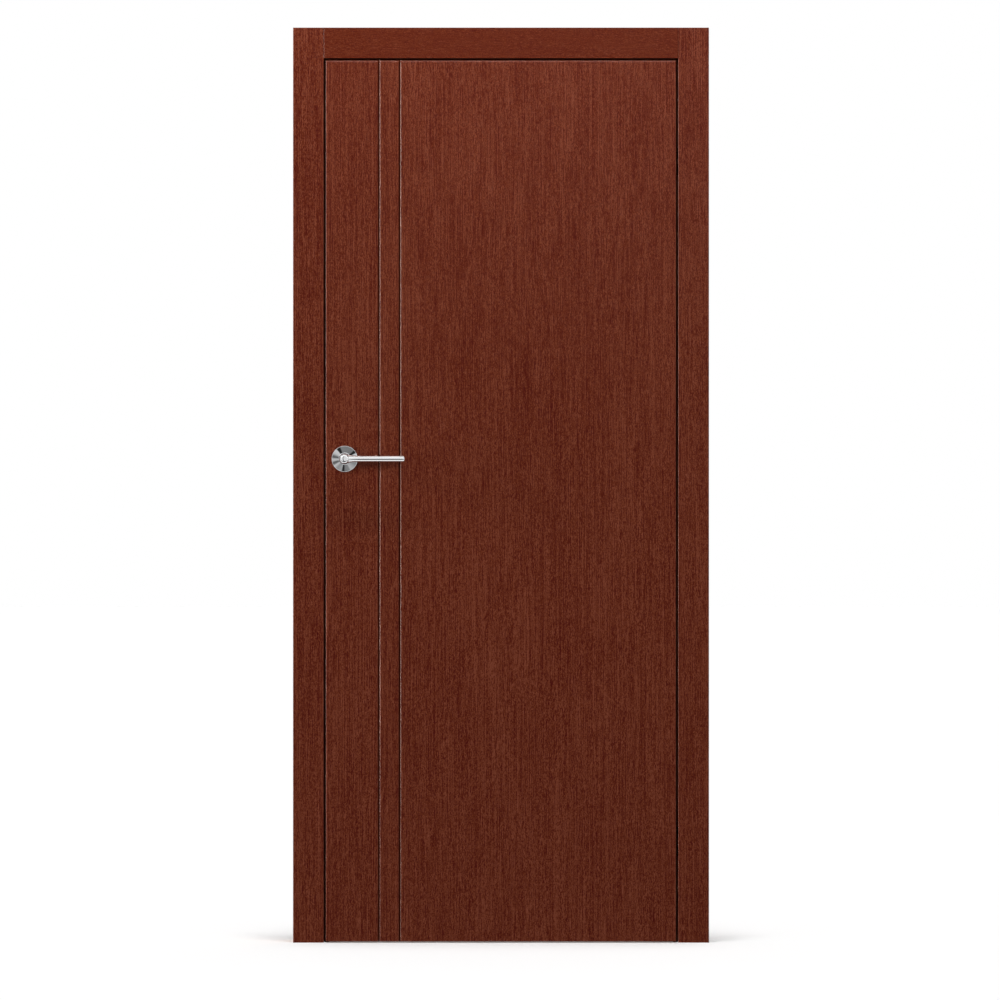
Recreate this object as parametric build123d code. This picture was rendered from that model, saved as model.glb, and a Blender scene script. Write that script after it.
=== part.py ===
from build123d import *
from math import atan2, degrees, hypot
import os

# A veneered interior door: a flush leaf hung in its frame, cased on both faces of the wall.
# Sizes are in millimetres. The pieces are drawn with X from the middle of the doorway towards
# the hinges, Y = 0 on the wall's front face with the viewer at -Y, and Z = 0 on the floor.
# They are saved with X = 0 on the outer face of the hinge-side jamb, where the wall holds it.

# The leaf
leaf_width = 800.0
leaf_height = 2012.0
leaf_thickness = 40.0
skin_thickness = 6.0
edge_band_thickness = 2.0
arris_radius = 1.5
lock_stile_width = 100.0
hinge_stile_width = 60.0
top_rail_width = 60.0
bottom_rail_width = 100.0

# Two upright vee grooves in each face, measured from the lock edge of the leaf
groove_places = (121.0, 168.5)
groove_width = 6.0
groove_depth = 3.0

# Gaps round the leaf
leaf_gap = 5.0
floor_gap = 3.0

# The frame
wall_thickness = 100.0
jamb_thickness = 35.0
stop_width = 12.0
stop_gap = 5.0
nose_step = 3.0
stop_arris_radius = 1.0

# The casings
casing_width = 70.0
casing_thickness = 16.0
casing_lip_thickness = 6.0
casing_arris_radius = 0.8
rear_casing_thickness = 16.0
tongue_thickness = 6.0
tongue_length = 18.0
tongue_inset = 24.0
groove_spare = 2.0

# The rubber seal on the stop
seal_width = 9.0
seal_clearance = 0.3
seal_shoulder = 1.5
seal_root_width = 2.6
seal_root_length = 5.0

# The concealed hinges: curved arms that run in matching slots about an axis in front of the gap
hinge_axis_lead = 2.5
hinge_body_width = 24.0
hinge_body_height = 150.0
hinge_body_depth = 29.5
hinge_from_leaf_end = 230.0
arm_inner_radius = 27.0
arm_outer_radius = 33.0
arm_half_angle = 63.0
arm_height = 26.0
arm_spacing = 38.0
arm_clearance = 0.3
slot_end_clearance = 1.0

# The lock
handle_height = 1105.0
backset = 43.0
lock_case_height = 152.0
lock_case_depth = 72.0
lock_case_width = 15.5
lock_drop = 16.0
faceplate_height = 196.0
faceplate_width = 18.0
faceplate_thickness = 3.0
latch_height = 22.0
latch_width = 10.5
latch_length = 24.0
follower_radius = 6.2
spindle_size = 8.0
spindle_hole_radius = 10.0

# The strike plate in the lock-side jamb and the pocket behind it
strike_height = 160.0
strike_width = 20.0
strike_thickness = 2.0
strike_window_height = 30.0
strike_window_width = 13.0
strike_pocket_depth = 18.0
strike_pocket_margin = 1.0

# The lever handles
rose_radius = 29.5
rose_rim_height = 3.0
rose_rim_rounding = 1.5
rose_hub_radius = 13.5
rose_height = 9.0
neck_radius = 11.0
neck_waist_radius = 9.5
neck_boss_radius = 9.0
boss_start = 1.0
elbow_radius = 11.5
grip_radius = 7.0
grip_reach = 137.5
grip_end_radius = 3.0
grip_blend_length = 30.0
grip_stand_off = 47.5
socket_end = 30.0
spindle_end_spare = 1.0

# Clearances
running_clearance = 0.3
bearing_clearance = 0.1
square_clearance = 0.1
seating_clearance = 0.2
lock_case_clearance = 0.5

# Places that follow from the sizes above
opening_half = leaf_width / 2 + leaf_gap
jamb_outer = opening_half + jamb_thickness
stop_inner = opening_half - stop_width
casing_outer = opening_half + casing_width
rear_casing_outer = stop_inner + casing_width

leaf_half = leaf_width / 2
leaf_bottom = floor_gap
leaf_top = floor_gap + leaf_height
opening_top = leaf_top + leaf_gap
stop_bottom = opening_top - stop_width
jamb_top = opening_top + jamb_thickness
casing_top = opening_top + casing_width
rear_casing_top = stop_bottom + casing_width

leaf_front = -casing_thickness
leaf_back = leaf_front + leaf_thickness
leaf_middle = (leaf_front + leaf_back) / 2
stop_face = leaf_back + stop_gap
nose_front = casing_lip_thickness - casing_thickness

core_half = leaf_half - edge_band_thickness
core_top = leaf_top - edge_band_thickness
core_front = leaf_front + skin_thickness
core_back = leaf_back - skin_thickness

seal_front = leaf_back + seal_clearance
seal_centre = (stop_inner + opening_half) / 2
seal_head_centre = (stop_bottom + opening_top) / 2
tongue_centre = stop_inner + tongue_inset
tongue_head_centre = stop_bottom + tongue_inset

hinge_axis = (opening_half - leaf_gap / 2, leaf_front - hinge_axis_lead)
hinge_heights = {
    "upper": leaf_top - hinge_from_leaf_end,
    "lower": leaf_bottom + hinge_from_leaf_end,
}

handle_x = backset - leaf_half
lock_height = handle_height - lock_drop
leaf_mirror = Plane(origin=(0, leaf_middle, 0), z_dir=(0, 1, 0))


def block(x, y, z):
    """A box given by its low and high end along each axis."""
    spans = (x, y, z)
    centre = [(low + high) / 2 for low, high in spans]
    return Pos(*centre) * Box(*[high - low for low, high in spans])


def span(centre, width):
    """Low and high end of a width about its centre."""
    return centre - width / 2, centre + width / 2


def other_side(shape):
    """The same shape on the other side of the doorway."""
    return mirror(shape, about=Plane.YZ)


def round_ended_plate(x, height_centre, height, width):
    """A plate facing along X with fully rounded top and bottom, centred on the leaf's middle."""
    outline = SlotOverall(height, width, rotation=90)
    face = Plane.YZ * Pos(leaf_middle, height_centre) * outline
    return Pos(x[0], 0, 0) * extrude(face, x[1] - x[0])


def save(name, shape):
    """Write one piece, moved into the frame whose origin is on the hinge-side jamb."""
    export_step(Pos(-jamb_outer, 0, 0) * shape, f"parts/{name}.step")


# Frame


def ease_stop(stop, across):
    """Round the stop's free corner, the lowest of its front edges along one axis."""
    front_edges = stop.edges().group_by(Axis.Y)[0]
    return fillet(front_edges.sort_by(across)[0], stop_arris_radius)


def ease_casing(board, from_front):
    """Round the edges of a casing's visible face, its front or its back, but not on the floor."""
    layers = board.edges().group_by(Axis.Y)
    face_edges = layers[0] if from_front else layers[-1]
    return fillet([edge for edge in face_edges if edge.center().Z > 0], casing_arris_radius)


def side_jamb():
    """Hinge-side jamb: a board with a nose behind the front casing and a rear casing groove."""
    nose = block((opening_half, jamb_outer - nose_step), (nose_front, 0), (0, jamb_top))
    board = block((opening_half, jamb_outer), (0, wall_thickness), (0, jamb_top))
    casing_groove = block(
        span(tongue_centre, tongue_thickness + 2 * seating_clearance),
        (wall_thickness - tongue_length - groove_spare, wall_thickness),
        (0, jamb_top),
    )
    return nose + board - casing_groove


def head_jamb():
    """The same board laid flat between the side jambs."""
    nose = block((-opening_half, opening_half), (nose_front, 0), (opening_top, jamb_top - nose_step))
    board = block((-opening_half, opening_half), (0, wall_thickness), (opening_top, jamb_top))
    casing_groove = block(
        (-opening_half, opening_half),
        (wall_thickness - tongue_length - groove_spare, wall_thickness),
        span(tongue_head_centre, tongue_thickness + 2 * seating_clearance),
    )
    return nose + board - casing_groove


def side_stop():
    """Planted stop on the hinge-side jamb, kerfed for the seal."""
    stop = block((stop_inner, opening_half), (stop_face, wall_thickness), (0, opening_top))
    kerf = block(
        span(seal_centre, seal_root_width + 2 * seating_clearance),
        (stop_face, stop_face + seal_root_length + seating_clearance),
        (0, opening_top),
    )
    return ease_stop(stop, Axis.X) - kerf


def head_stop():
    """Planted stop under the head jamb, between the side stops."""
    stop = block((-stop_inner, stop_inner), (stop_face, wall_thickness), (stop_bottom, opening_top))
    kerf = block(
        (-stop_inner, stop_inner),
        (stop_face, stop_face + seal_root_length + seating_clearance),
        span(seal_head_centre, seal_root_width + 2 * seating_clearance),
    )
    return ease_stop(stop, Axis.Z) - kerf


def front_side_casing():
    """Front casing, full height, rebated to lap over the nose of the jamb."""
    board = block((opening_half, casing_outer), (leaf_front, 0), (0, casing_top))
    rebate = block((opening_half, jamb_outer - nose_step), (nose_front, 0), (0, jamb_top))
    return ease_casing(board, from_front=True) - rebate


def front_head_casing():
    """Front head casing, butted between the side casings."""
    board = block((-opening_half, opening_half), (leaf_front, 0), (opening_top, casing_top))
    rebate = block((-opening_half, opening_half), (nose_front, 0), (opening_top, jamb_top - nose_step))
    return ease_casing(board, from_front=True) - rebate


def rear_side_casing():
    """Rear casing with a tongue that slides in the back of the jamb."""
    back = wall_thickness + rear_casing_thickness
    board = block((stop_inner, rear_casing_outer), (wall_thickness, back), (0, rear_casing_top))
    tongue = block(
        span(tongue_centre, tongue_thickness),
        (wall_thickness - tongue_length, wall_thickness),
        (0, stop_bottom),
    )
    return ease_casing(board, from_front=False) + tongue


def rear_head_casing():
    """Rear head casing, butted between the rear side casings."""
    back = wall_thickness + rear_casing_thickness
    board = block((-stop_inner, stop_inner), (wall_thickness, back), (stop_bottom, rear_casing_top))
    tongue = block(
        (-stop_inner, stop_inner),
        (wall_thickness - tongue_length, wall_thickness),
        span(tongue_head_centre, tongue_thickness),
    )
    return ease_casing(board, from_front=False) + tongue


def seal_section(centre):
    """Rubber seal in section: a domed bulb on the stop's face and a root in its kerf."""
    half = seal_width / 2
    shoulder = stop_face - seal_shoulder
    dome = ThreePointArc((centre - half, shoulder), (centre, seal_front), (centre + half, shoulder))
    base = Polyline((centre + half, shoulder), (centre + half, stop_face),
                    (centre - half, stop_face), (centre - half, shoulder))
    root = Rectangle(seal_root_width, seal_root_length)
    return make_face([dome, base]), Pos(centre, stop_face + seal_root_length / 2) * root


def side_seal():
    """Seal up the hinge-side stop, ending under the head seal."""
    bulb, root = seal_section(seal_centre)
    top = seal_head_centre - seal_width / 2
    return extrude(bulb, top, dir=(0, 0, 1)) + extrude(root, top, dir=(0, 0, 1))


def head_seal():
    """Seal along the head, over the ends of the side seals."""
    bulb, root = seal_section(0)
    along = Plane(origin=(0, 0, seal_head_centre), x_dir=(0, 0, 1), z_dir=(-1, 0, 0))
    reach = seal_centre + seal_width / 2
    bulb_part = extrude(along * bulb, reach, both=True)
    root_part = extrude(along * root, stop_inner - seating_clearance, both=True)
    return bulb_part + root_part


# Hinges


def arc_band(inner, outer, first, last, low, high):
    """A curved bar about the hinge axis. Angles run from straight back towards the jamb."""
    sweep = last - first
    outside = CenterArc(hinge_axis, outer, 90 - last, sweep)
    inside = CenterArc(hinge_axis, inner, 90 - last, sweep)
    ends = [Line(outside @ 0, inside @ 0), Line(outside @ 1, inside @ 1)]
    return Pos(0, 0, low) * extrude(make_face([outside, inside] + ends), high - low, dir=(0, 0, 1))


def arm_spans(height):
    """Low and high end of each of the two arms of a hinge."""
    centres = (height - arm_spacing / 2, height + arm_spacing / 2)
    return [span(centre, arm_height) for centre in centres]


def hinge_arms(height):
    """The two curved arms of one hinge."""
    return [
        arc_band(arm_inner_radius, arm_outer_radius, -arm_half_angle, arm_half_angle, low, high)
        for low, high in arm_spans(height)
    ]


def hinge_slots(height):
    """The slots that the arms run in, through both bodies of a hinge."""
    reach = arm_half_angle + slot_end_clearance
    inner = arm_inner_radius - arm_clearance
    outer = arm_outer_radius + arm_clearance
    slots = [
        arc_band(inner, outer, -reach, reach, low - arm_clearance, high + arm_clearance)
        for low, high in arm_spans(height)
    ]
    return slots[0] + slots[1]


def hinge_frame_body(height):
    """The hinge's body in the jamb."""
    x = (opening_half, opening_half + hinge_body_depth)
    return round_ended_plate(x, height, hinge_body_height, hinge_body_width) - hinge_slots(height)


def hinge_leaf_body(height):
    """The hinge's body in the leaf's edge."""
    x = (leaf_half - hinge_body_depth, leaf_half)
    return round_ended_plate(x, height, hinge_body_height, hinge_body_width) - hinge_slots(height)


def hinge_mortise(x, height):
    """The cut that a hinge body sits in."""
    grown = 2 * seating_clearance
    return round_ended_plate(x, height, hinge_body_height + grown, hinge_body_width + grown)


def hinge_jamb():
    jamb = side_jamb()
    depth = hinge_body_depth + seating_clearance
    for height in hinge_heights.values():
        jamb -= hinge_mortise((opening_half, opening_half + depth), height)
    return jamb


# Lock


def latch_cut(x, height, width):
    """A square cut along X through the latch's place."""
    return block(x, span(leaf_middle, width), span(lock_height, height))


def strike_plate():
    x = (opening_half, opening_half + strike_thickness)
    plate = round_ended_plate(x, lock_height, strike_height, strike_width)
    return other_side(plate - latch_cut(x, strike_window_height, strike_window_width))


def lock_jamb():
    """The lock-side jamb, cut for the strike plate and the latch pocket."""
    plate_back = opening_half + strike_thickness
    grown = 2 * seating_clearance
    plate_seat = round_ended_plate(
        (opening_half, plate_back), lock_height, strike_height + grown, strike_width + grown)
    pocket = latch_cut(
        (opening_half, plate_back + strike_pocket_depth),
        strike_window_height + 2 * strike_pocket_margin,
        strike_window_width + 2 * strike_pocket_margin,
    )
    return other_side(side_jamb() - plate_seat - pocket)


def lock_case():
    """Closed lock case behind the faceplate, bored for the follower and cut for the latch."""
    front = faceplate_thickness - leaf_half
    case = block(
        (front, front + lock_case_depth),
        span(leaf_middle, lock_case_width),
        span(lock_height, lock_case_height),
    )
    latch_hole = latch_cut(
        (front, latch_length - leaf_half + running_clearance),
        latch_height + 2 * running_clearance,
        latch_width + 2 * running_clearance,
    )
    bore = handle_cylinder(follower_radius + bearing_clearance, core_front, core_back)
    return case - latch_hole - bore


def lock_faceplate():
    x = (-leaf_half, faceplate_thickness - leaf_half)
    plate = round_ended_plate(x, lock_height, faceplate_height, faceplate_width)
    window = latch_cut(x, latch_height + 2 * running_clearance, latch_width + 2 * running_clearance)
    return plate - window


def latch_bolt():
    """Magnetic latch, drawn back flush with the faceplate."""
    return latch_cut((-leaf_half, latch_length - leaf_half), latch_height, latch_width)


def lock_mortise():
    """The cut in the leaf's lock edge for the case and the faceplate."""
    front = faceplate_thickness - leaf_half
    grown = 2 * seating_clearance
    plate_seat = round_ended_plate(
        (-leaf_half, front), lock_height, faceplate_height + grown, faceplate_width + grown)
    case_hole = block(
        (-leaf_half, front + lock_case_depth + lock_case_clearance),
        span(leaf_middle, lock_case_width + 2 * lock_case_clearance),
        span(lock_height, lock_case_height + 2 * lock_case_clearance),
    )
    return plate_seat + case_hole


# Leaf


def handle_cylinder(radius, front, back):
    """A round bar along the handle's axis."""
    face = Plane.XZ * Pos(handle_x, handle_height) * Circle(radius)
    return Pos(0, front, 0) * extrude(face, back - front, dir=(0, 1, 0))


def vee_grooves():
    """The upright vee grooves of the front face, over the leaf's whole height."""
    cuts = []
    for place in groove_places:
        x = place - leaf_half
        section = make_face(Polyline(
            (x - groove_width / 2, leaf_front), (x + groove_width / 2, leaf_front),
            (x, leaf_front + groove_depth), close=True))
        cuts.append(Pos(0, 0, leaf_bottom) * extrude(section, leaf_height, dir=(0, 0, 1)))
    return cuts


def groove_both_faces(shape):
    for cut in vee_grooves():
        shape = shape - cut - mirror(cut, about=leaf_mirror)
    return shape


def leaf_envelope():
    """The leaf's outer form, with its side and top arrises eased on both faces."""
    body = block((-leaf_half, leaf_half), (leaf_front, leaf_back), (leaf_bottom, leaf_top))
    top_and_sides = body.edges().filter_by(Axis.Y, reverse=True)
    eased = top_and_sides.filter_by(Axis.Z) + top_and_sides.filter_by(Axis.X).group_by(Axis.Z)[-1]
    return fillet(eased, arris_radius)


def front_skin():
    """Grooved front skin, bored for the handle."""
    board = block((-core_half, core_half), (leaf_front, core_front), (leaf_bottom, core_top))
    for cut in vee_grooves():
        board -= cut
    return board - handle_cylinder(spindle_hole_radius, leaf_front, core_front)


def core_bar(x, z):
    """One bar of the leaf's inner frame."""
    return block(x, (core_front, core_back), z)


def lock_stile():
    bar = core_bar((-core_half, lock_stile_width - core_half), (leaf_bottom, core_top))
    bore = handle_cylinder(spindle_hole_radius, core_front, core_back)
    return bar - lock_mortise() - bore


def hinge_stile():
    bar = core_bar((core_half - hinge_stile_width, core_half), (leaf_bottom, core_top))
    return cut_hinge_mortises(bar)


def cut_hinge_mortises(shape):
    inner = leaf_half - hinge_body_depth - seating_clearance
    for height in hinge_heights.values():
        shape = shape - hinge_mortise((inner, leaf_half), height)
    return shape


def rail(low, high):
    ends = (lock_stile_width - core_half, core_half - hinge_stile_width)
    return core_bar(ends, (low, high))


def edge_band(x, z):
    """Veneered band over the full thickness of the leaf, eased where it meets the faces."""
    return leaf_envelope() & block(x, (leaf_front, leaf_back), z)


def lock_edge_band():
    band = edge_band((-leaf_half, -core_half), (leaf_bottom, leaf_top))
    return band - lock_mortise()


def hinge_edge_band():
    band = edge_band((core_half, leaf_half), (leaf_bottom, leaf_top))
    return cut_hinge_mortises(band)


def top_edge_band():
    return groove_both_faces(edge_band((-core_half, core_half), (core_top, leaf_top)))


# Handle


def rose():
    """Conical rose on the front face, turned about the handle's axis."""
    bore = neck_boss_radius + running_clearance
    face = leaf_front
    top = face - rose_height
    rim = face - rose_rim_height
    outline = Polyline(
        (bore, face), (rose_radius, face), (rose_radius, rim),
        (rose_hub_radius, top), (bore, top), close=True)
    section = make_face(outline)
    rim_corner = section.vertices().group_by(Axis.X)[-1].sort_by(Axis.Y)[0]
    return turned_about_handle(fillet(rim_corner, rose_rim_rounding))


def turned_about_handle(section):
    """Turn a half section, drawn as radius and depth, about the handle's axis."""
    place = Pos(handle_x, 0, handle_height)
    return place * revolve(section, Axis.Y, 360)


def lever():
    """Front lever: a turned neck with a round elbow, and a straight round grip."""
    shoulder = leaf_front - rose_height - running_clearance
    grip_depth = leaf_front - grip_stand_off
    boss_back = leaf_front - boss_start
    neck = turned_about_handle(make_face(Polyline(
        (0, boss_back), (neck_boss_radius, boss_back), (neck_boss_radius, shoulder),
        (neck_radius, shoulder), (neck_waist_radius, grip_depth), (0, grip_depth), close=True)))
    blend_radius = (grip_blend_length**2 / (elbow_radius - grip_radius) - elbow_radius - grip_radius) / 2
    blend_centre = (grip_blend_length, grip_radius + blend_radius)
    share = elbow_radius / hypot(*blend_centre)
    elbow_end = (blend_centre[0] * share, blend_centre[1] * share)
    elbow_start = degrees(atan2(elbow_end[1], elbow_end[0]))
    elbow = CenterArc((0, 0), elbow_radius, elbow_start, 180 - elbow_start)
    blend = RadiusArc(elbow_end, (grip_blend_length, grip_radius), blend_radius)
    grip_end = grip_reach - grip_end_radius
    side = Line((grip_blend_length, grip_radius), (grip_end, grip_radius))
    rounding = CenterArc((grip_end, grip_radius - grip_end_radius), grip_end_radius, 90, -90)
    tip = Polyline((grip_reach, grip_radius - grip_end_radius), (grip_reach, 0), (-elbow_radius, 0))
    section = make_face([elbow, blend, side, rounding, tip])
    grip = Pos(handle_x, grip_depth, handle_height) * revolve(section, Axis.X, 360)
    socket = square_along_handle(
        spindle_size + 2 * square_clearance, leaf_front - socket_end, leaf_front)
    return neck + grip - socket


def square_along_handle(size, front, back):
    """A square bar along the handle's axis."""
    return block(span(handle_x, size), (front, back), span(handle_height, size))


def spindle():
    reach = socket_end - spindle_end_spare
    return square_along_handle(spindle_size, leaf_front - reach, leaf_back + reach)


def lock_follower():
    """The lock's follower, which the spindle turns."""
    disc = handle_cylinder(follower_radius, *span(leaf_middle, lock_case_width))
    return disc - square_along_handle(spindle_size + 2 * square_clearance, core_front, core_back)


def build():
    """Every piece of the door, by name."""
    pieces = {
        "hinge_jamb": hinge_jamb(),
        "lock_jamb": lock_jamb(),
        "head_jamb": head_jamb(),
        "stop_hinge_side": side_stop(),
        "stop_lock_side": other_side(side_stop()),
        "stop_head": head_stop(),
        "front_casing_hinge_side": front_side_casing(),
        "front_casing_lock_side": other_side(front_side_casing()),
        "front_casing_head": front_head_casing(),
        "rear_casing_hinge_side": rear_side_casing(),
        "rear_casing_lock_side": other_side(rear_side_casing()),
        "rear_casing_head": rear_head_casing(),
        "seal_hinge_side": side_seal(),
        "seal_lock_side": other_side(side_seal()),
        "seal_head": head_seal(),
        "strike_plate": strike_plate(),
        "leaf_front_skin": front_skin(),
        "leaf_back_skin": mirror(front_skin(), about=leaf_mirror),
        "leaf_lock_stile": lock_stile(),
        "leaf_hinge_stile": hinge_stile(),
        "leaf_top_rail": rail(core_top - top_rail_width, core_top),
        "leaf_bottom_rail": rail(leaf_bottom, leaf_bottom + bottom_rail_width),
        "leaf_edge_band_lock": lock_edge_band(),
        "leaf_edge_band_hinge": hinge_edge_band(),
        "leaf_edge_band_top": top_edge_band(),
        "lock_case": lock_case(),
        "lock_faceplate": lock_faceplate(),
        "latch_bolt": latch_bolt(),
        "lock_follower": lock_follower(),
        "front_rose": rose(),
        "rear_rose": mirror(rose(), about=leaf_mirror),
        "front_lever": lever(),
        "rear_lever": mirror(lever(), about=leaf_mirror),
        "spindle": spindle(),
    }
    for name, height in hinge_heights.items():
        pieces[f"{name}_hinge_frame_body"] = hinge_frame_body(height)
        pieces[f"{name}_hinge_leaf_body"] = hinge_leaf_body(height)
        pieces[f"{name}_hinge_arms"] = Compound(hinge_arms(height))
    return pieces


os.makedirs("parts", exist_ok=True)
for piece_name, piece in build().items():
    save(piece_name, piece)
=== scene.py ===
"""Looks of a veneered interior door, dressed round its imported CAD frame. Lengths are in metres."""
import math

import bmesh
import bpy
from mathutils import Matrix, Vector


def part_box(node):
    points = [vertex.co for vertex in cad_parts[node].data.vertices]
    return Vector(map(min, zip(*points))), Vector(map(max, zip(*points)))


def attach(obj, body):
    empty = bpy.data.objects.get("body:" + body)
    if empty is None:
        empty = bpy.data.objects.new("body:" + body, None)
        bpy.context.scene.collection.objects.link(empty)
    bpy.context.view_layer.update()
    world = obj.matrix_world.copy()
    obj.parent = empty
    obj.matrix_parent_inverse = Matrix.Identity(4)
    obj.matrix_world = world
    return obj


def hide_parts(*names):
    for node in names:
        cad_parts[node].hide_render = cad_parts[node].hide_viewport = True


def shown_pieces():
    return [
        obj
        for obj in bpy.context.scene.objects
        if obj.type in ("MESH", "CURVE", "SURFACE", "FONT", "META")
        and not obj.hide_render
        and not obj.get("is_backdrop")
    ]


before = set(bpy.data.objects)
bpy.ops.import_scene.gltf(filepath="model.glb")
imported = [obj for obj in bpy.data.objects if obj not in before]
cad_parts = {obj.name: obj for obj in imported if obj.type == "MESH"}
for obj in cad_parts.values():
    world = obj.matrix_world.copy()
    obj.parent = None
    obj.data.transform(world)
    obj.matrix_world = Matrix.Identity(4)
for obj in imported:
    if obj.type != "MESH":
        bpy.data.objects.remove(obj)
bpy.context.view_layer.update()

MM = 0.001

# Places read from the frame
rose_low, rose_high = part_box("front_rose")
lever_low, lever_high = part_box("front_lever")
skin_low, skin_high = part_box("leaf_front_skin")
casing_low, casing_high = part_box("front_casing_head")

DOOR_MIDDLE = (casing_low.x + casing_high.x) / 2
LOCK_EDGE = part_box("leaf_edge_band_lock")[0].x
LEAF_TOP = skin_high.z
LEAF_FRONT = skin_low.y
LEAF_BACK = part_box("leaf_back_skin")[1].y
LEAF_MIDDLE = (LEAF_FRONT + LEAF_BACK) / 2
HANDLE_X = (rose_low.x + rose_high.x) / 2
HANDLE_Z = (rose_low.z + rose_high.z) / 2

# The grooves' middles, in millimetres from the leaf's lock edge, and then as places
GROOVE_OFFSETS = (121, 168.5)
GROOVES = [LOCK_EDGE + offset * MM for offset in GROOVE_OFFSETS]


# Shader trees


def add(tree, kind, inputs=(), family="ShaderNode", **settings):
    """Add a node, set its options, and give each input a value or a link."""
    made = tree.nodes.new(family + kind)
    for option, value in settings.items():
        setattr(made, option, value)
    for place, value in dict(inputs).items():
        if isinstance(value, bpy.types.NodeSocket):
            tree.links.new(value, made.inputs[place])
        else:
            made.inputs[place].default_value = value
    return made


def calculate(tree, operation, *values):
    """One Math node."""
    return add(tree, "Math", enumerate(values), operation=operation).outputs[0]


def remap(tree, value, low, high, to_low=0.0, to_high=1.0):
    """A smooth step of a value between two limits."""
    inputs = {"Value": value, "From Min": low, "From Max": high,
              "To Min": to_low, "To Max": to_high}
    return add(tree, "MapRange", inputs, interpolation_type="SMOOTHSTEP").outputs[0]


def blend_colours(tree, share, first, second):
    """Mix two colours by a share from 0 to 1."""
    made = add(tree, "Mix", {0: share, 6: first, 7: second}, data_type="RGBA")
    return made.outputs[2]


def noise(tree, place, stretch, shift=(0, 0, 0), detail=2.0, roughness=0.5):
    """Smooth noise with its own stretch along each axis, in features per metre."""
    scaled = add(tree, "Mapping", {"Vector": place, "Location": shift, "Scale": stretch})
    inputs = {"Vector": scaled.outputs[0], "Scale": 1.0, "Detail": detail, "Roughness": roughness}
    return add(tree, "TexNoise", inputs).outputs["Fac"]


def new_material(name):
    """An empty material with its tree, shader and Object coordinates."""
    material = bpy.data.materials.new(name)
    material.use_nodes = True
    tree = material.node_tree
    tree.nodes.clear()
    shader = add(tree, "BsdfPrincipled")
    output = add(tree, "OutputMaterial", {"Surface": shader.outputs[0]})
    output.target = "ALL"
    place = add(tree, "TexCoord").outputs["Object"]
    return material, tree, shader, place


def relief(tree, shader, height, strength, depth):
    """Bump from a height between 0 and 1, over any relief that is there already."""
    inputs = {"Height": height, "Strength": strength, "Distance": depth}
    if shader.inputs["Normal"].links:
        inputs["Normal"] = shader.inputs["Normal"].links[0].from_socket
    bump = add(tree, "Bump", inputs)
    tree.links.new(bump.outputs[0], shader.inputs["Normal"])


# Veneer

# Colours of the figure from its dark pores to its light lines, and of the shade painted into the
# grooves
VENEER_DARK = (0.0575, 0.0007, 0.0, 1)
VENEER_MIDDLE = (0.111, 0.0190, 0.0040, 1)
VENEER_LIGHT = (0.194, 0.0535, 0.0290, 1)
GROOVE_PAINTED_SHADE = (0.022, 0.0018, 0.0004, 1)
PAINTED_SHADE_SHARE = 0.8
PAINTED_SHADE_FULL_WITHIN = 0.6 * MM
PAINTED_SHADE_REACH = 2.6 * MM

# How light the figure is on the average, from 0 for dark to 1 for light. The level head is cut
# from a darker sheet.
AVERAGE_SHARE = {"upright": 0.5, "level": 0.39}

# Layers of figure as features per metre across, across and along the grain, and their weights
FIGURE = {
    "upright": (
        ((900, 900, 330), 2.4),
        ((950, 950, 130), 1.9),
        ((1000, 1000, 40), 1.5),
        ((1050, 1050, 5), 1.7),
        ((1000, 1000, 0.7), 1.0),
        ((22, 22, 2.5), 0.28),
        ((4, 4, 1.1), 0.20),
    ),
    "level": (
        ((900, 900, 330), 1.6),
        ((1000, 1000, 90), 1.1),
        ((1200, 1200, 10), 0.4),
        ((4, 4, 1.1), 0.10),
    ),
}

LINE_WANDER = 12 * MM
PORE_RELIEF = 0.2 * MM
SATIN_ROUGHNESS = (0.36, 0.28)
SATIN_LUSTRE = 0.39

# Width over which the veneer is eased at the casings' joints and at the leaf's top, and how far
# it falls there
JOINT_EASE_WIDTH = 1.2 * MM
TOP_EASE_WIDTH = 1.8 * MM
EASE_FALL = 1.0 * MM


def along_the_grain(tree, place, grain):
    """Turn a place so that Z runs along the grain, and let the lines wander a little."""
    if grain == "level":
        turned = add(tree, "Mapping", {"Vector": place, "Rotation": (0, math.pi / 2, 0)})
        place = turned.outputs[0]
    split = add(tree, "SeparateXYZ", {0: place})
    sway = noise(tree, place, (6, 6, 1.6), shift=(3, 0, 0), detail=1.0)
    sideways = calculate(tree, "MULTIPLY", calculate(tree, "SUBTRACT", sway, 0.5), LINE_WANDER)
    x = calculate(tree, "ADD", split.outputs[0], sideways)
    y = calculate(tree, "ADD", split.outputs[1], sideways)
    return add(tree, "CombineXYZ", {0: x, 1: y, 2: split.outputs[2]}).outputs[0]


def bare_sides(tree, sides):
    """1 where the surface faces one of the bare sides, such as a back or a sawn foot."""
    facing = add(tree, "TexCoord").outputs["Normal"]
    share = 0.0
    for side in sides:
        across = add(tree, "VectorMath", {0: facing, 1: side}, operation="DOT_PRODUCT")
        share = calculate(tree, "MAXIMUM", remap(tree, across.outputs["Value"], 0.75, 0.85), share)
    return share


def board_colour(tree, place):
    """Pressed fibreboard, as it shows on sawn and hidden faces."""
    fibres = noise(tree, place, (900, 900, 900), detail=2.0)
    return blend_colours(
        tree, remap(tree, fibres, 0.3, 0.7), (0.22, 0.135, 0.075, 1), (0.34, 0.225, 0.13, 1))


def painted_shade_in_grooves(tree, place):
    """Share of painted shade, which darkens the leaf's grooves towards their bottoms."""
    across = add(tree, "SeparateXYZ", {0: place}).outputs[0]
    share = 0.0
    for middle in GROOVES:
        away = calculate(tree, "ABSOLUTE", calculate(tree, "SUBTRACT", across, middle))
        near = remap(tree, away, PAINTED_SHADE_FULL_WITHIN, PAINTED_SHADE_REACH, PAINTED_SHADE_SHARE, 0.0)
        share = calculate(tree, "MAXIMUM", near, share)
    return share


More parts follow.
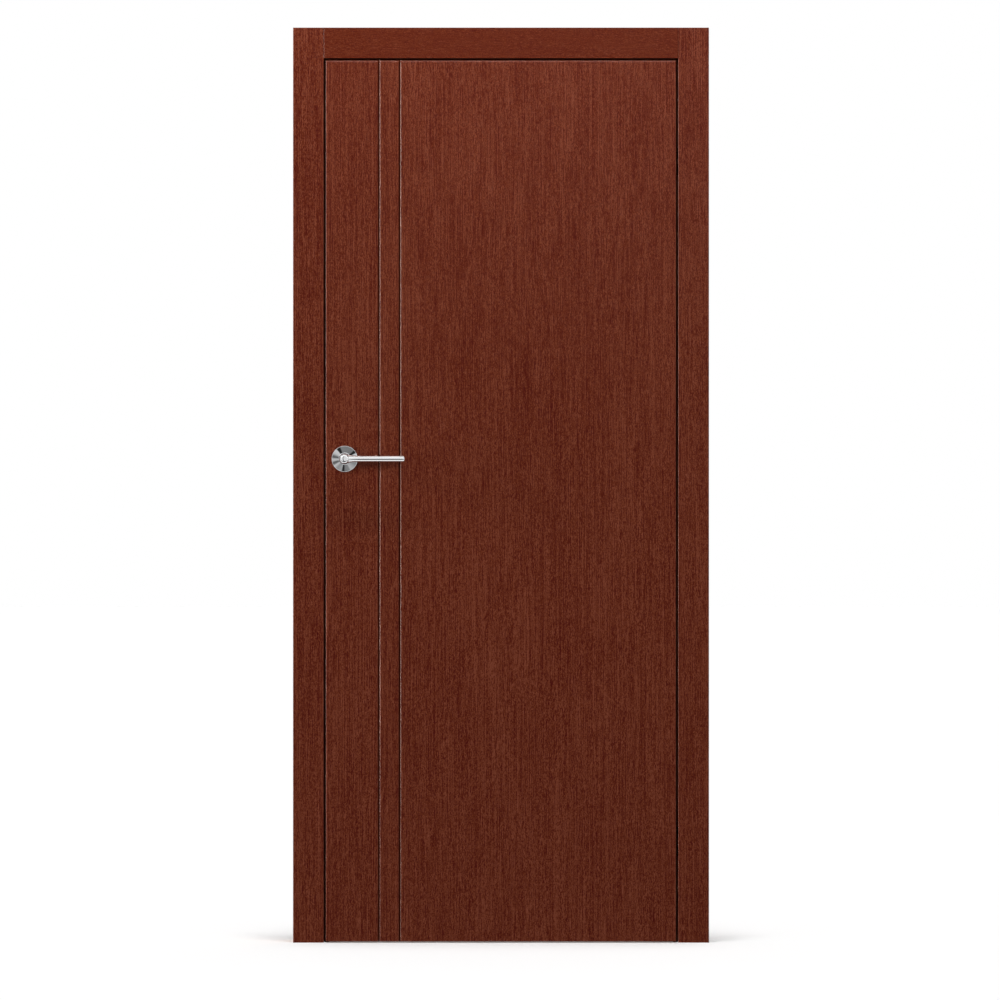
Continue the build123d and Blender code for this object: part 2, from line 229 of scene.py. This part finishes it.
def eased_ends(tree, place):
    """Height of the head casing's face, which falls away at its two joints."""
    across = add(tree, "SeparateXYZ", {0: place}).outputs[0]
    from_left = calculate(tree, "SUBTRACT", across, casing_low.x)
    from_right = calculate(tree, "SUBTRACT", casing_high.x, across)
    return remap(tree, calculate(tree, "MINIMUM", from_left, from_right), 0.0, JOINT_EASE_WIDTH)


def eased_top(tree, place):
    """Height of the leaf's face, which falls away at its upper edge."""
    height = add(tree, "SeparateXYZ", {0: place}).outputs[2]
    return remap(tree, calculate(tree, "SUBTRACT", LEAF_TOP, height), 0.0, TOP_EASE_WIDTH)


EASED_FACES = {"head casing": eased_ends, "leaf": eased_top}


def veneer(name, grain, shift, bare):
    """Mahogany-stained fine-line veneer under satin lacquer, with bare board on some sides."""
    material, tree, shader, place = new_material("veneer " + name)
    shifted = add(tree, "Mapping", {"Vector": place, "Location": shift}).outputs[0]
    line = along_the_grain(tree, shifted, grain)
    share = AVERAGE_SHARE[grain]
    for stretch, weight in FIGURE[grain]:
        layer = noise(tree, line, stretch, shift=(7 * weight, 0, 9 * weight), detail=1.0)
        centred = calculate(tree, "SUBTRACT", layer, 0.5)
        share = calculate(tree, "MULTIPLY_ADD", centred, weight, share)

    ramp = add(tree, "ValToRGB", {0: share})
    stops = ramp.color_ramp.elements
    stops[0].position, stops[0].color = 0.0, VENEER_DARK
    stops[1].position, stops[1].color = 1.0, VENEER_LIGHT
    stops.new(0.5).color = VENEER_MIDDLE
    colour = ramp.outputs[0]
    # The leaf's grooves get painted shade, darkest at their bottoms.
    if name == "leaf":
        colour = blend_colours(tree, painted_shade_in_grooves(tree, place), colour, GROOVE_PAINTED_SHADE)
    exposed = bare_sides(tree, bare)
    colour = blend_colours(tree, exposed, colour, board_colour(tree, place))
    tree.links.new(colour, shader.inputs["Base Color"])

    satin = remap(tree, share, 0.1, 0.9, *SATIN_ROUGHNESS)
    tree.links.new(calculate(tree, "MAXIMUM", satin, exposed), shader.inputs["Roughness"])
    shader.inputs["Specular IOR Level"].default_value = SATIN_LUSTRE
    relief(tree, shader, share, 0.08, PORE_RELIEF)
    if name in EASED_FACES:
        relief(tree, shader, EASED_FACES[name](tree, place), 1.0, EASE_FALL)
    return material


# Metal, rubber and timber


def chrome():
    """Polished chrome with the faint unevenness of a hand polish."""
    material, tree, shader, place = new_material("polished chrome")
    shader.inputs["Base Color"].default_value = (0.86, 0.865, 0.875, 1)
    shader.inputs["Metallic"].default_value = 1.0
    haze = noise(tree, place, (60, 60, 60), detail=3.0)
    tree.links.new(remap(tree, haze, 0.3, 0.7, 0.05, 0.09), shader.inputs["Roughness"])
    relief(tree, shader, noise(tree, place, (120, 120, 120), detail=1.0), 0.04, 0.2 * MM)
    return material


def satin_steel(name, colour, grain):
    """Brushed steel. The lines run along the grain's short stretch."""
    material, tree, shader, place = new_material(name)
    brushed = noise(tree, place, grain, detail=2.0)
    shade = remap(tree, brushed, 0.25, 0.75)
    darker = tuple(part * 0.8 for part in colour[:3]) + (1,)
    tree.links.new(blend_colours(tree, shade, darker, colour), shader.inputs["Base Color"])
    shader.inputs["Metallic"].default_value = 1.0
    tree.links.new(remap(tree, brushed, 0.25, 0.75, 0.26, 0.40), shader.inputs["Roughness"])
    relief(tree, shader, brushed, 0.12, 0.1 * MM)
    return material


def rubber():
    """Dark brown extruded seal."""
    material, tree, shader, place = new_material("seal rubber")
    shade = noise(tree, place, (300, 300, 20), detail=2.0)
    colour = blend_colours(tree, shade, (0.016, 0.009, 0.007, 1), (0.030, 0.017, 0.013, 1))
    tree.links.new(colour, shader.inputs["Base Color"])
    tree.links.new(remap(tree, shade, 0.3, 0.7, 0.55, 0.7), shader.inputs["Roughness"])
    relief(tree, shader, shade, 0.2, 0.2 * MM)
    return material


def timber(name, grain):
    """Planed softwood of the leaf's inner bars."""
    material, tree, shader, place = new_material(name)
    line = along_the_grain(tree, place, grain)
    rings = noise(tree, line, (90, 90, 3), detail=3.0)
    fibres = noise(tree, line, (900, 900, 30), detail=2.0)
    share = calculate(tree, "MULTIPLY_ADD", fibres, 0.35, calculate(tree, "MULTIPLY", rings, 0.75))
    colour = blend_colours(
        tree, remap(tree, share, 0.35, 0.75), (0.36, 0.20, 0.095, 1), (0.62, 0.42, 0.24, 1))
    tree.links.new(colour, shader.inputs["Base Color"])
    shader.inputs["Roughness"].default_value = 0.7
    relief(tree, shader, fibres, 0.3, 0.3 * MM)
    return material


def paint(material, *names):
    """Give CAD nodes one material."""
    for name in names:
        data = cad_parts[name].data
        data.materials.clear()
        data.materials.append(material)


# The ways a side can face
FOOT, TOP, FRONT, BACK, LEFT, RIGHT = (
    (0, 0, -1), (0, 0, 1), (0, -1, 0), (0, 1, 0), (-1, 0, 0), (1, 0, 0))


def paint_veneered_pieces():
    """Each piece is cut from its own stretch of veneer."""
    pieces = (
        ("left casing", "upright", (0.31, 0.07, 0.0), (FOOT, BACK), ["front_casing_lock_side"]),
        ("right casing", "upright", (1.13, 0.02, 0.4), (FOOT, BACK), ["front_casing_hinge_side"]),
        ("head casing", "level", (0.2, 0.05, 0.77), (BACK,), ["front_casing_head"]),
        ("leaf", "upright", (2.4, 0.0, 0.2), (FOOT,), ["leaf_front_skin", "leaf_back_skin"]),
        ("leaf edges", "upright", (0.7, 0.3, 0.1), (FOOT,),
         ["leaf_edge_band_lock", "leaf_edge_band_hinge"]),
        ("leaf top edge", "level", (0.3, 0.3, 0.5), (FOOT,), ["leaf_edge_band_top"]),
        ("hinge jamb", "upright", (0.9, 0.6, 0.3), (FOOT, TOP, FRONT, RIGHT), ["hinge_jamb"]),
        ("lock jamb", "upright", (0.5, 0.9, 0.8), (FOOT, TOP, FRONT, LEFT), ["lock_jamb"]),
        ("head jamb", "level", (0.4, 0.8, 0.6), (TOP, FRONT), ["head_jamb"]),
        ("side stops", "upright", (0.8, 0.1, 0.9), (FOOT,), ["stop_hinge_side", "stop_lock_side"]),
        ("head stop", "level", (0.1, 0.8, 0.3), (), ["stop_head"]),
        ("rear side casings", "upright", (1.6, 0.4, 0.5), (FOOT, FRONT),
         ["rear_casing_hinge_side", "rear_casing_lock_side"]),
        ("rear head casing", "level", (0.7, 0.2, 0.2), (FRONT,), ["rear_casing_head"]),
    )
    for name, grain, shift, bare, nodes in pieces:
        paint(veneer(name, grain, shift, bare), *nodes)


def paint_inner_pieces():
    """Timber bars, seals and ironmongery."""
    paint(timber("softwood bars", "upright"), "leaf_lock_stile", "leaf_hinge_stile")
    paint(timber("softwood rails", "level"), "leaf_top_rail", "leaf_bottom_rail")
    paint(rubber(), "seal_hinge_side", "seal_lock_side", "seal_head")
    paint(hinge_finish, "upper_hinge_frame_body", "lower_hinge_frame_body",
          "upper_hinge_leaf_body", "lower_hinge_leaf_body", "upper_hinge_arms", "lower_hinge_arms")
    paint(plate_finish, "strike_plate", "lock_faceplate", "latch_bolt")
    paint(satin_steel("lock works", (0.38, 0.37, 0.34, 1), (80, 80, 80)),
          "lock_case", "lock_follower", "spindle")


# Handles. An outline is a list of (radius, depth) pairs in millimetres, with the depth measured
# from the leaf's face outwards. Slopes are in degrees.

ROSE_BORE = 9.3
ROSE_RIM_HEIGHT = 2.9
ROSE_BEVEL_WIDTH = 1.1
ROSE_BEVEL_SLOPE = 42.0
ROSE_HUB_RADIUS = 14.2
ROSE_HUB_ROUNDING = 0.5
ROSE_DISH_SLOPE = 28.0
NECK_BOSS_RADIUS = 9.0
NECK_BOSS_START = 1.0
NECK_RADIUS = 11.0
NECK_WAIST_RADIUS = 9.5
NECK_GAP = 0.3
NECK_FILLET = 3.0
NECK_LIP_ROUNDING = 0.6
ELBOW_DOME_FULLNESS = 3.8
ELBOW_DOME_STEPS = 40
GRIP_RADIUS = 7.0
GRIP_ROOT_RADIUS = 11.2
GRIP_TIP_ROUNDING = 3.0
GRIP_BLEND_LENGTH = 30.0
SPINDLE_SOCKET = 8.2
SPINDLE_SOCKET_END = 30.0
LONG_RUN = 1.5
SHARP_EDGE = math.radians(35)

rose_radius = (rose_high.x - rose_low.x) / 2 / MM
rose_height = (LEAF_FRONT - rose_low.y) / MM
elbow_radius = (lever_high.z - lever_low.z) / 2 / MM
grip_depth = (LEAF_FRONT - lever_low.y) / MM - elbow_radius
grip_reach = (lever_high.x - HANDLE_X) / MM


def arc(centre, radius, start, end, steps):
    """Points on an arc between two angles in degrees."""
    points = []
    for step in range(steps + 1):
        angle = math.radians(start + (end - start) * step / steps)
        points.append((centre[0] + radius * math.cos(angle), centre[1] + radius * math.sin(angle)))
    return points


def held_straight(outline, share=0.04):
    """Add points near the ends of long runs, so that smooth shading keeps them straight."""
    points = []
    for (r0, d0), (r1, d1) in zip(outline, outline[1:]):
        points.append((r0, d0))
        if math.hypot(r1 - r0, d1 - d0) > LONG_RUN:
            for part in (share, 1 - share):
                points.append((r0 + (r1 - r0) * part, d0 + (d1 - d0) * part))
    return points + [outline[-1]]


def turned(outline, along="depth", steps=144):
    """Turn an outline round the handle's axis, or round the grip's, and return the bmesh."""
    form = bmesh.new()
    rings = []
    for radius, way in held_straight(outline):
        ring = []
        for step in range(steps):
            angle = 2 * math.pi * step / steps
            across, up = radius * math.cos(angle), radius * math.sin(angle)
            if along == "depth":
                place = (across, -way, up)
            else:
                place = (way, -grip_depth + across, up)
            ring.append(form.verts.new(place))
        rings.append(ring)
    for low, high in zip(rings, rings[1:]):
        for step in range(steps):
            after = (step + 1) % steps
            form.faces.new((low[step], low[after], high[after], high[step]))
    bmesh.ops.remove_doubles(form, verts=form.verts, dist=1e-5)
    bmesh.ops.recalc_face_normals(form, faces=form.faces)
    return form


def new_piece(name, form):
    """A mesh object from a bmesh, in millimetres about the handle's axis on the leaf's face."""
    mesh = bpy.data.meshes.new(name)
    form.to_mesh(mesh)
    form.free()
    made = bpy.data.objects.new(name, mesh)
    bpy.context.scene.collection.objects.link(made)
    return made


def combine(piece, other, operation):
    """Join or cut a piece with another by a Boolean, and keep the result as its plain mesh."""
    modifier = piece.modifiers.new("combine", "BOOLEAN")
    modifier.operation = operation
    modifier.solver = "EXACT"
    modifier.object = other
    depsgraph = bpy.context.evaluated_depsgraph_get()
    result = bpy.data.meshes.new_from_object(piece.evaluated_get(depsgraph))
    piece.modifiers.clear()
    piece.data = result
    bpy.data.objects.remove(other)


def rose():
    """Conical rose with a bevelled rim and a shallow dish round the neck."""
    inner = rose_radius - ROSE_BEVEL_WIDTH
    slope = math.degrees(math.atan2(rose_height - ROSE_RIM_HEIGHT, inner - ROSE_HUB_RADIUS))
    bevel = ROSE_BEVEL_WIDTH * math.tan(math.radians(ROSE_BEVEL_SLOPE))
    outline = [(ROSE_BORE, 0), (rose_radius, 0), (rose_radius, ROSE_RIM_HEIGHT - bevel),
               (inner, ROSE_RIM_HEIGHT)]
    edge = (ROSE_HUB_RADIUS, rose_height - ROSE_HUB_ROUNDING)
    outline += arc(edge, ROSE_HUB_ROUNDING, 90 - slope, 90 + ROSE_DISH_SLOPE, 10)
    fall = (outline[-1][0] - NECK_RADIUS) * math.tan(math.radians(ROSE_DISH_SLOPE))
    floor = outline[-1][1] - fall
    outline += [(NECK_RADIUS, floor), (ROSE_BORE, floor), (ROSE_BORE, 0)]
    return turned(outline)


def neck():
    """Turned neck that waists, flares into the elbow and closes in a full, flat dome."""
    shoulder = rose_height + NECK_GAP
    reach = math.sqrt((elbow_radius + NECK_FILLET) ** 2 - (NECK_WAIST_RADIUS + NECK_FILLET) ** 2)
    fillet_centre = (NECK_WAIST_RADIUS + NECK_FILLET, grip_depth - reach)
    turn = math.degrees(math.atan2(reach, NECK_WAIST_RADIUS + NECK_FILLET))
    outline = [(0, NECK_BOSS_START), (NECK_BOSS_RADIUS, NECK_BOSS_START),
               (NECK_BOSS_RADIUS, shoulder)]
    lip = (NECK_RADIUS - NECK_LIP_ROUNDING, shoulder + NECK_LIP_ROUNDING)
    outline += arc(lip, NECK_LIP_ROUNDING, -90, 5, 6)
    outline += arc(fillet_centre, NECK_FILLET, 180, 180 - turn, 10)
    outline += arc((0, grip_depth), elbow_radius, -turn, 0, 12)[1:]
    for step in range(1, ELBOW_DOME_STEPS + 1):
        turn = math.pi / 2 * step / ELBOW_DOME_STEPS
        across = max(math.cos(turn), 0.0) ** (2 / ELBOW_DOME_FULLNESS)
        rise = math.sin(turn) ** (2 / ELBOW_DOME_FULLNESS)
        outline.append((elbow_radius * across, grip_depth + elbow_radius * rise))
    return turned(outline)


def grip():
    """Straight round grip with a long hollow curve into the elbow."""
    swell = GRIP_ROOT_RADIUS - GRIP_RADIUS
    curve = (GRIP_BLEND_LENGTH ** 2 / swell - GRIP_ROOT_RADIUS - GRIP_RADIUS) / 2
    centre = (GRIP_RADIUS + curve, GRIP_BLEND_LENGTH)
    meet = math.degrees(math.atan2(centre[1], centre[0]))
    outline = arc((0, 0), GRIP_ROOT_RADIUS, -90, meet, 40)
    outline += arc(centre, curve, 180 + meet, 180, 24)
    tip = (GRIP_RADIUS - GRIP_TIP_ROUNDING, grip_reach - GRIP_TIP_ROUNDING)
    outline += arc(tip, GRIP_TIP_ROUNDING, 0, 90, 12)
    outline += [(0, grip_reach)]
    return turned(outline, along="grip")


def cube_between(low, high):
    """A bmesh box between two corners, for cutting."""
    form = bmesh.new()
    bmesh.ops.create_cube(form, size=1)
    for vertex in form.verts:
        for axis in range(3):
            vertex.co[axis] = low[axis] if vertex.co[axis] < 0 else high[axis]
    return form


def lever():
    """The whole lever, with its square socket for the spindle."""
    made = new_piece("lever", neck())
    combine(made, new_piece("grip", grip()), "UNION")
    half = SPINDLE_SOCKET / 2
    socket = cube_between((-half, -SPINDLE_SOCKET_END, -half), (half, 1, half))
    combine(made, new_piece("socket", socket), "DIFFERENCE")
    form = bmesh.new()
    form.from_mesh(made.data)
    bpy.data.objects.remove(made)
    return form


def finish_piece(name, form, side, body, node):
    """Put a handle piece in its place on the leaf's front or rear, and hide its CAD node."""
    for vertex in form.verts:
        vertex.co *= MM
    for vertex in form.verts:
        vertex.co += Vector((HANDLE_X, LEAF_FRONT, HANDLE_Z))
        if side == "rear":
            vertex.co.y = 2 * LEAF_MIDDLE - vertex.co.y
    bmesh.ops.recalc_face_normals(form, faces=form.faces)
    for face in form.faces:
        face.smooth = True
    made = new_piece(name, form)
    made.data.set_sharp_from_angle(angle=SHARP_EDGE)
    made.data.materials.clear()
    made.data.materials.append(chrome_finish)
    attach(made, body)
    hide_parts(node)


def make_handles():
    """A rose and a lever on both faces of the leaf."""
    for side in ("front", "rear"):
        finish_piece(
            f"{side}_turned_rose", rose(), side, "leaf", f"{side}_rose")
        finish_piece(
            f"{side}_turned_lever", lever(), side, "handle", f"{side}_lever")


# Screws. Points say where each head sits and which way it faces, and the tree does the rest.
# Places are in millimetres up and down from the middle of the plate.

HINGE_SCREW_PLACES = (-63, -44, 44, 63)
STRIKE_SCREW_PLACES = (-70, 70)
LOCK_SCREW_PLACES = (-89, 89)
HINGE_SCREW = {"Head Radius": 3.9 * MM, "Head Rise": 0.45 * MM, "Recess Reach": 2.2 * MM,
               "Recess Width": 0.8 * MM, "Recess Depth": 0.9 * MM}
PLATE_SCREW = {"Head Radius": 3.6 * MM, "Head Rise": 0.40 * MM, "Recess Reach": 2.0 * MM,
               "Recess Width": 0.75 * MM, "Recess Depth": 0.8 * MM}
SHARP_SCREW_EDGE = math.radians(30)


def screw_tree():
    """A domed head with a cross recess on every point, turned the way the point faces."""
    tree = bpy.data.node_groups.new("cross-head screws", "GeometryNodeTree")
    tree.interface.new_socket("Points", in_out="INPUT", socket_type="NodeSocketGeometry")
    for label in HINGE_SCREW:
        tree.interface.new_socket(label, in_out="INPUT", socket_type="NodeSocketFloat")
    tree.interface.new_socket("Finish", in_out="INPUT", socket_type="NodeSocketMaterial")
    tree.interface.new_socket("Screws", in_out="OUTPUT", socket_type="NodeSocketGeometry")
    given = tree.nodes.new("NodeGroupInput").outputs

    def stretched(x, y, z):
        return add(tree, "CombineXYZ", {0: x, 1: y, 2: z}).outputs[0]

    def shape(kind, inputs, **settings):
        return add(tree, kind, inputs, family="GeometryNode", **settings).outputs[0]

    reach = calculate(tree, "MULTIPLY", given["Recess Reach"], 2.0)
    depth = calculate(tree, "MULTIPLY", given["Recess Depth"], 2.0)
    ball = shape("MeshUVSphere", {"Segments": 32, "Rings": 16, "Radius": 1.0})
    radius = given["Head Radius"]
    rise = given["Head Rise"]
    head = shape("Transform", {"Geometry": ball, "Scale": stretched(radius, radius, rise)})
    lift = stretched(0.0, 0.0, rise)
    slots = []
    for size in ((reach, given["Recess Width"], depth), (given["Recess Width"], reach, depth)):
        bar = shape("MeshCube", {"Size": stretched(*size)})
        slots.append(shape("Transform", {"Geometry": bar, "Translation": lift}))
    cut = add(tree, "MeshBoolean", {"Mesh 1": head}, family="GeometryNode",
              operation="DIFFERENCE", solver="EXACT")
    for slot in slots:
        tree.links.new(slot, cut.inputs["Mesh 2"])
    facing = add(tree, "InputNamedAttribute", {"Name": "facing"}, family="GeometryNode",
                 data_type="FLOAT_VECTOR").outputs["Attribute"]
    turn = add(tree, "AlignRotationToVector", {"Vector": facing}, family="FunctionNode", axis="Z")
    heads = shape("InstanceOnPoints", {"Points": given["Points"], "Instance": cut.outputs[0],
                                       "Rotation": turn.outputs[0]})
    plain = shape("RealizeInstances", {"Geometry": heads})
    painted = shape("SetMaterial", {"Geometry": plain, "Material": given["Finish"]})
    result = tree.nodes.new("NodeGroupOutput")
    tree.links.new(painted, result.inputs[0])
    return tree


def grow(made, tree, sizes):
    """Run a tree on an object with the given sizes, and keep the result as its plain mesh."""
    modifier = made.modifiers.new(tree.name, "NODES")
    modifier.node_group = tree
    for socket in tree.interface.items_tree:
        if socket.in_out == "INPUT" and socket.name in sizes:
            modifier[socket.identifier] = sizes[socket.name]
    depsgraph = bpy.context.evaluated_depsgraph_get()
    result = bpy.data.meshes.new_from_object(made.evaluated_get(depsgraph))
    made.modifiers.clear()
    made.data = result


def screws_on(node, places, side):
    """Where the screws of a plate or hinge body sit, and the way they face."""
    low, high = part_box(node)
    x = low.x if side < 0 else high.x
    y, z = (low.y + high.y) / 2, (low.z + high.z) / 2
    return [(Vector((x, y, z + place * MM)), Vector((side, 0, 0))) for place in places]


def screw_set(name, tree, seats, sizes, finish, body):
    """All screws of one size and finish on one body."""
    mesh = bpy.data.meshes.new(name)
    mesh.from_pydata([place for place, way in seats], [], [])
    facing = mesh.attributes.new("facing", "FLOAT_VECTOR", "POINT")
    for entry, (place, way) in zip(facing.data, seats):
        entry.vector = way
    made = bpy.data.objects.new(name, mesh)
    bpy.context.scene.collection.objects.link(made)
    grow(made, tree, {**sizes, "Finish": finish})
    for face in made.data.polygons:
        face.use_smooth = True
    made.data.set_sharp_from_angle(angle=SHARP_SCREW_EDGE)
    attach(made, body)


def make_screws():
    """The screws that show when the leaf stands open: those of the hinges and of the plates."""
    tree = screw_tree()
    for body, piece, side in (("frame", "frame_body", -1), ("leaf", "leaf_body", 1)):
        seats = []
        for level in ("upper", "lower"):
            seats += screws_on(f"{level}_hinge_{piece}", HINGE_SCREW_PLACES, side)
        screw_set(
            f"{body}_hinge_screws", tree, seats, HINGE_SCREW, hinge_finish, body)
    seats = screws_on("strike_plate", STRIKE_SCREW_PLACES, 1)
    screw_set("strike_screws", tree, seats, PLATE_SCREW, plate_finish, "frame")
    seats = screws_on("lock_faceplate", LOCK_SCREW_PLACES, -1)
    screw_set("lock_screws", tree, seats, PLATE_SCREW, plate_finish, "leaf")


chrome_finish = chrome()
hinge_finish = satin_steel("dark bronze hinge", (0.055, 0.040, 0.032, 1), (40, 40, 900))
plate_finish = satin_steel("satin nickel plates", (0.55, 0.54, 0.52, 1), (500, 500, 12))
paint_veneered_pieces()
paint_inner_pieces()
make_handles()
make_screws()


# Studio


FLOOR_REACH = 60.0


def pale_floor():
    """A wide pale floor that bounces no light on the door."""
    mesh = bpy.data.meshes.new("floor")
    corners = ((-1, -1), (1, -1), (1, 1), (-1, 1))
    places = [(x * FLOOR_REACH, y * FLOOR_REACH, 0) for x, y in corners]
    mesh.from_pydata(places, [], [(0, 1, 2, 3)])
    floor = bpy.data.objects.new("floor", mesh)
    bpy.context.scene.collection.objects.link(floor)
    material, tree, shader, place = new_material("pale floor")
    shader.inputs["Base Color"].default_value = (0.9, 0.9, 0.9, 1)
    shader.inputs["Roughness"].default_value = 0.9
    shader.inputs["Specular IOR Level"].default_value = 0.0
    mesh.materials.append(material)
    floor.visible_diffuse = False
    floor.visible_glossy = False
    floor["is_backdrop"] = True


def light_object(name, light, place, aim, lit, shines=True):
    """Put a light in the scene, turned to a point, for the pieces of one collection alone."""
    made = bpy.data.objects.new(name, light)
    bpy.context.scene.collection.objects.link(made)
    made.location = place
    made.rotation_mode = "QUATERNION"
    made.rotation_quaternion = (Vector(aim) - Vector(place)).to_track_quat("-Z", "Y")
    made.visible_camera = False
    made.visible_glossy = shines
    made.light_linking.receiver_collection = lit


def softbox(name, place, aim, size, radiance, lit, shines=True, colour=(1, 1, 1)):
    """A rectangular softbox, with or without a reflection in the lacquer."""
    light = bpy.data.lights.new(name, "AREA")
    light.color = colour
    light.shape = "RECTANGLE"
    light.size, light.size_y = size
    light.energy = radiance * math.pi * size[0] * size[1]
    light_object(name, light, place, aim, lit, shines)


def collection_of(name, pieces):
    """A collection that says which pieces a light reaches."""
    made = bpy.data.collections.new(name)
    for piece in pieces:
        made.objects.link(piece)
    return made


WARM = (1.0, 0.80, 0.72)

# Cards that the levers alone reflect: name, place from the front lever's elbow, size and
# brightness. The lens stands in the slit between the two front cards.
LEVER_CARDS = (
    ("upper card", (0.0, -1.20, 1.00), (2.6, 1.10), 0.95),
    ("front card", (1.78, -3.00, 0.12), (4.50, 2.30), 0.74),
    ("left front card", (-1.55, -3.00, 0.12), (2.74, 2.30), 0.74),
    ("lower card", (0.0, -0.60, -1.40), (2.6, 0.70), 0.85),
)


def studio_light():
    """Soft light on the woodwork from the front, the left and the top, and the levers' cards."""
    handles = [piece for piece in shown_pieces() if "turned" in piece.name]
    woodwork = collection_of("woodwork", [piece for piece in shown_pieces() if piece not in handles])
    levers = collection_of("levers", [piece for piece in handles if "lever" in piece.name])
    middle = (DOOR_MIDDLE, 0, 1.2)
    softbox("key", (0.3, -6.3, 2.6), middle, (2.0, 2.0), 15, woodwork, shines=False)
    softbox("left softbox", (-8.4, -0.95, 2.1), middle, (0.7, 4.0), 135, woodwork, colour=WARM)
    head = (DOOR_MIDDLE, 0, 1.9)
    softbox("top softbox", (-0.5, -0.8, 3.3), head, (2.2, 0.1), 40, woodwork, colour=WARM)
    softbox("rear softbox", (1.8, 5.6, 3.2), middle, (2.6, 2.6), 12, woodwork)
    elbow = Vector((HANDLE_X, LEAF_FRONT - grip_depth * MM, HANDLE_Z))
    for name, place, size, radiance in LEVER_CARDS:
        softbox(name, elbow + Vector(place), elbow, size, radiance, levers)


# Far lamps over the floor: how far each leans to both sides and towards the viewer, as a slope,
# its strength and its width in degrees
FLOOR_LAMPS = (
    (0.045, 0.070, 0.42, 3),
    (0.070, 0.130, 0.26, 4),
    (0.040, 0.180, 0.20, 5),
    (0.030, 0.270, 0.16, 6),
    (0.000, 0.330, 0.12, 8),
    (0.000, -0.080, 0.48, 10),
)


def floor_light():
    """A fan of far lamps overhead, which draws the door's soft shadow at its foot."""
    floor = collection_of("floor", [bpy.data.objects["floor"]])
    for side, lean, energy, width in FLOOR_LAMPS:
        for way in (-side, side) if side else (0,):
            light = bpy.data.lights.new("floor lamp", "SUN")
            light.angle = math.radians(width)
            light.energy = energy
            light_object("floor lamp", light, (way, -lean, 1), (0, 0, 0), floor)


# The cards and flags round the handle as its polished metal shows them: the angle round the
# line of sight, in degrees from the right and turning up, and the brightness from there on
TENT_PANELS = (
    (0, 0.12), (12, 0.12), (18, 0.65), (26, 0.65), (30, 0.02), (42, 0.02), (46, 0.20),
    (110, 0.22), (114, 0.02), (129, 0.02), (134, 0.65), (152, 0.55), (166, 0.12), (174, 0.14),
    (180, 0.55), (189, 0.50), (196, 0.12), (205, 0.14), (213, 0.58), (230, 0.28), (252, 0.38),
    (257, 0.02), (266, 0.02), (270, 0.20), (292, 0.24), (300, 0.48), (318, 0.38), (332, 0.26),
    (350, 0.26),
)
TENT_OPENING = 0.05
TENT_CLOTH = 0.85


def tent(tree, x, y, z):
    """Brightness of the tent in one direction."""
    turn = calculate(tree, "ARCTAN2", z, x)
    turn = calculate(tree, "FRACT", calculate(tree, "DIVIDE", turn, 2 * math.pi))
    ramp = add(tree, "ValToRGB", {0: turn})
    stops = ramp.color_ramp.elements
    first, last = TENT_PANELS[0], TENT_PANELS[-1]
    stops[0].position, stops[0].color = first[0] / 360, (first[1],) * 3 + (1,)
    stops[1].position, stops[1].color = last[0] / 360, (last[1],) * 3 + (1,)
    for angle, bright in TENT_PANELS[1:-1]:
        stops.new(angle / 360).color = (bright,) * 3 + (1,)
    # The panels stand off to the side. Inside their ring the tent is open towards the lens, and
    # outside it the tent is plain white.
    ahead = calculate(tree, "MULTIPLY", y, -1)
    ring = remap(tree, ahead, 0.93, 0.89)
    above = calculate(tree, "SUBTRACT", ramp.outputs[0], TENT_OPENING)
    panels = calculate(tree, "MULTIPLY_ADD", above, ring, TENT_OPENING)
    outside = remap(tree, ahead, 0.4, 0.15)
    apart = calculate(tree, "SUBTRACT", TENT_CLOTH, panels)
    return calculate(tree, "MULTIPLY_ADD", apart, outside, panels)


def studio_world():
    """White background, and the room that lights the door and shows in its metal."""
    world = bpy.data.worlds.new("studio")
    bpy.context.scene.world = world
    world.use_nodes = True
    tree = world.node_tree
    tree.nodes.clear()
    direction = add(tree, "SeparateXYZ", {0: add(tree, "TexCoord").outputs["Generated"]})
    x, y, z = direction.outputs
    room = remap(tree, z, -0.2, 1.0, 0.10, 0.35)
    path = add(tree, "LightPath")
    bright = add(tree, "Mix", {0: path.outputs["Is Glossy Ray"], 2: room, 3: tent(tree, x, y, z)})
    lit = add(tree, "Background", {"Color": (1, 1, 1, 1), "Strength": bright.outputs[0]})
    backdrop = add(tree, "Background", {"Color": (1, 1, 1, 1), "Strength": 1.0})
    both = add(tree, "MixShader",
               {0: path.outputs["Is Camera Ray"], 1: lit.outputs[0], 2: backdrop.outputs[0]})
    add(tree, "OutputWorld", {"Surface": both.outputs[0]})


SEEN_WIDTH = 2.284
CAMERA_HEIGHT = 1.011
CAMERA_TO_THE_LEFT = 2.3 * MM
LENS = 300


def place_camera():
    """Level, squarely in front and far away, as the photograph's flat elevation is."""
    camera = bpy.data.cameras.new("camera")
    camera.sensor_width = 36
    camera.lens = LENS
    distance = SEEN_WIDTH * LENS / camera.sensor_width
    made = bpy.data.objects.new("camera", camera)
    bpy.context.scene.collection.objects.link(made)
    made.location = (DOOR_MIDDLE - CAMERA_TO_THE_LEFT, LEAF_FRONT - distance, CAMERA_HEIGHT)
    made.rotation_euler = (math.pi / 2, 0, 0)
    bpy.context.scene.camera = made
    bpy.context.scene.view_settings.view_transform = "Standard"


pale_floor()
studio_light()
floor_light()
studio_world()
place_camera()
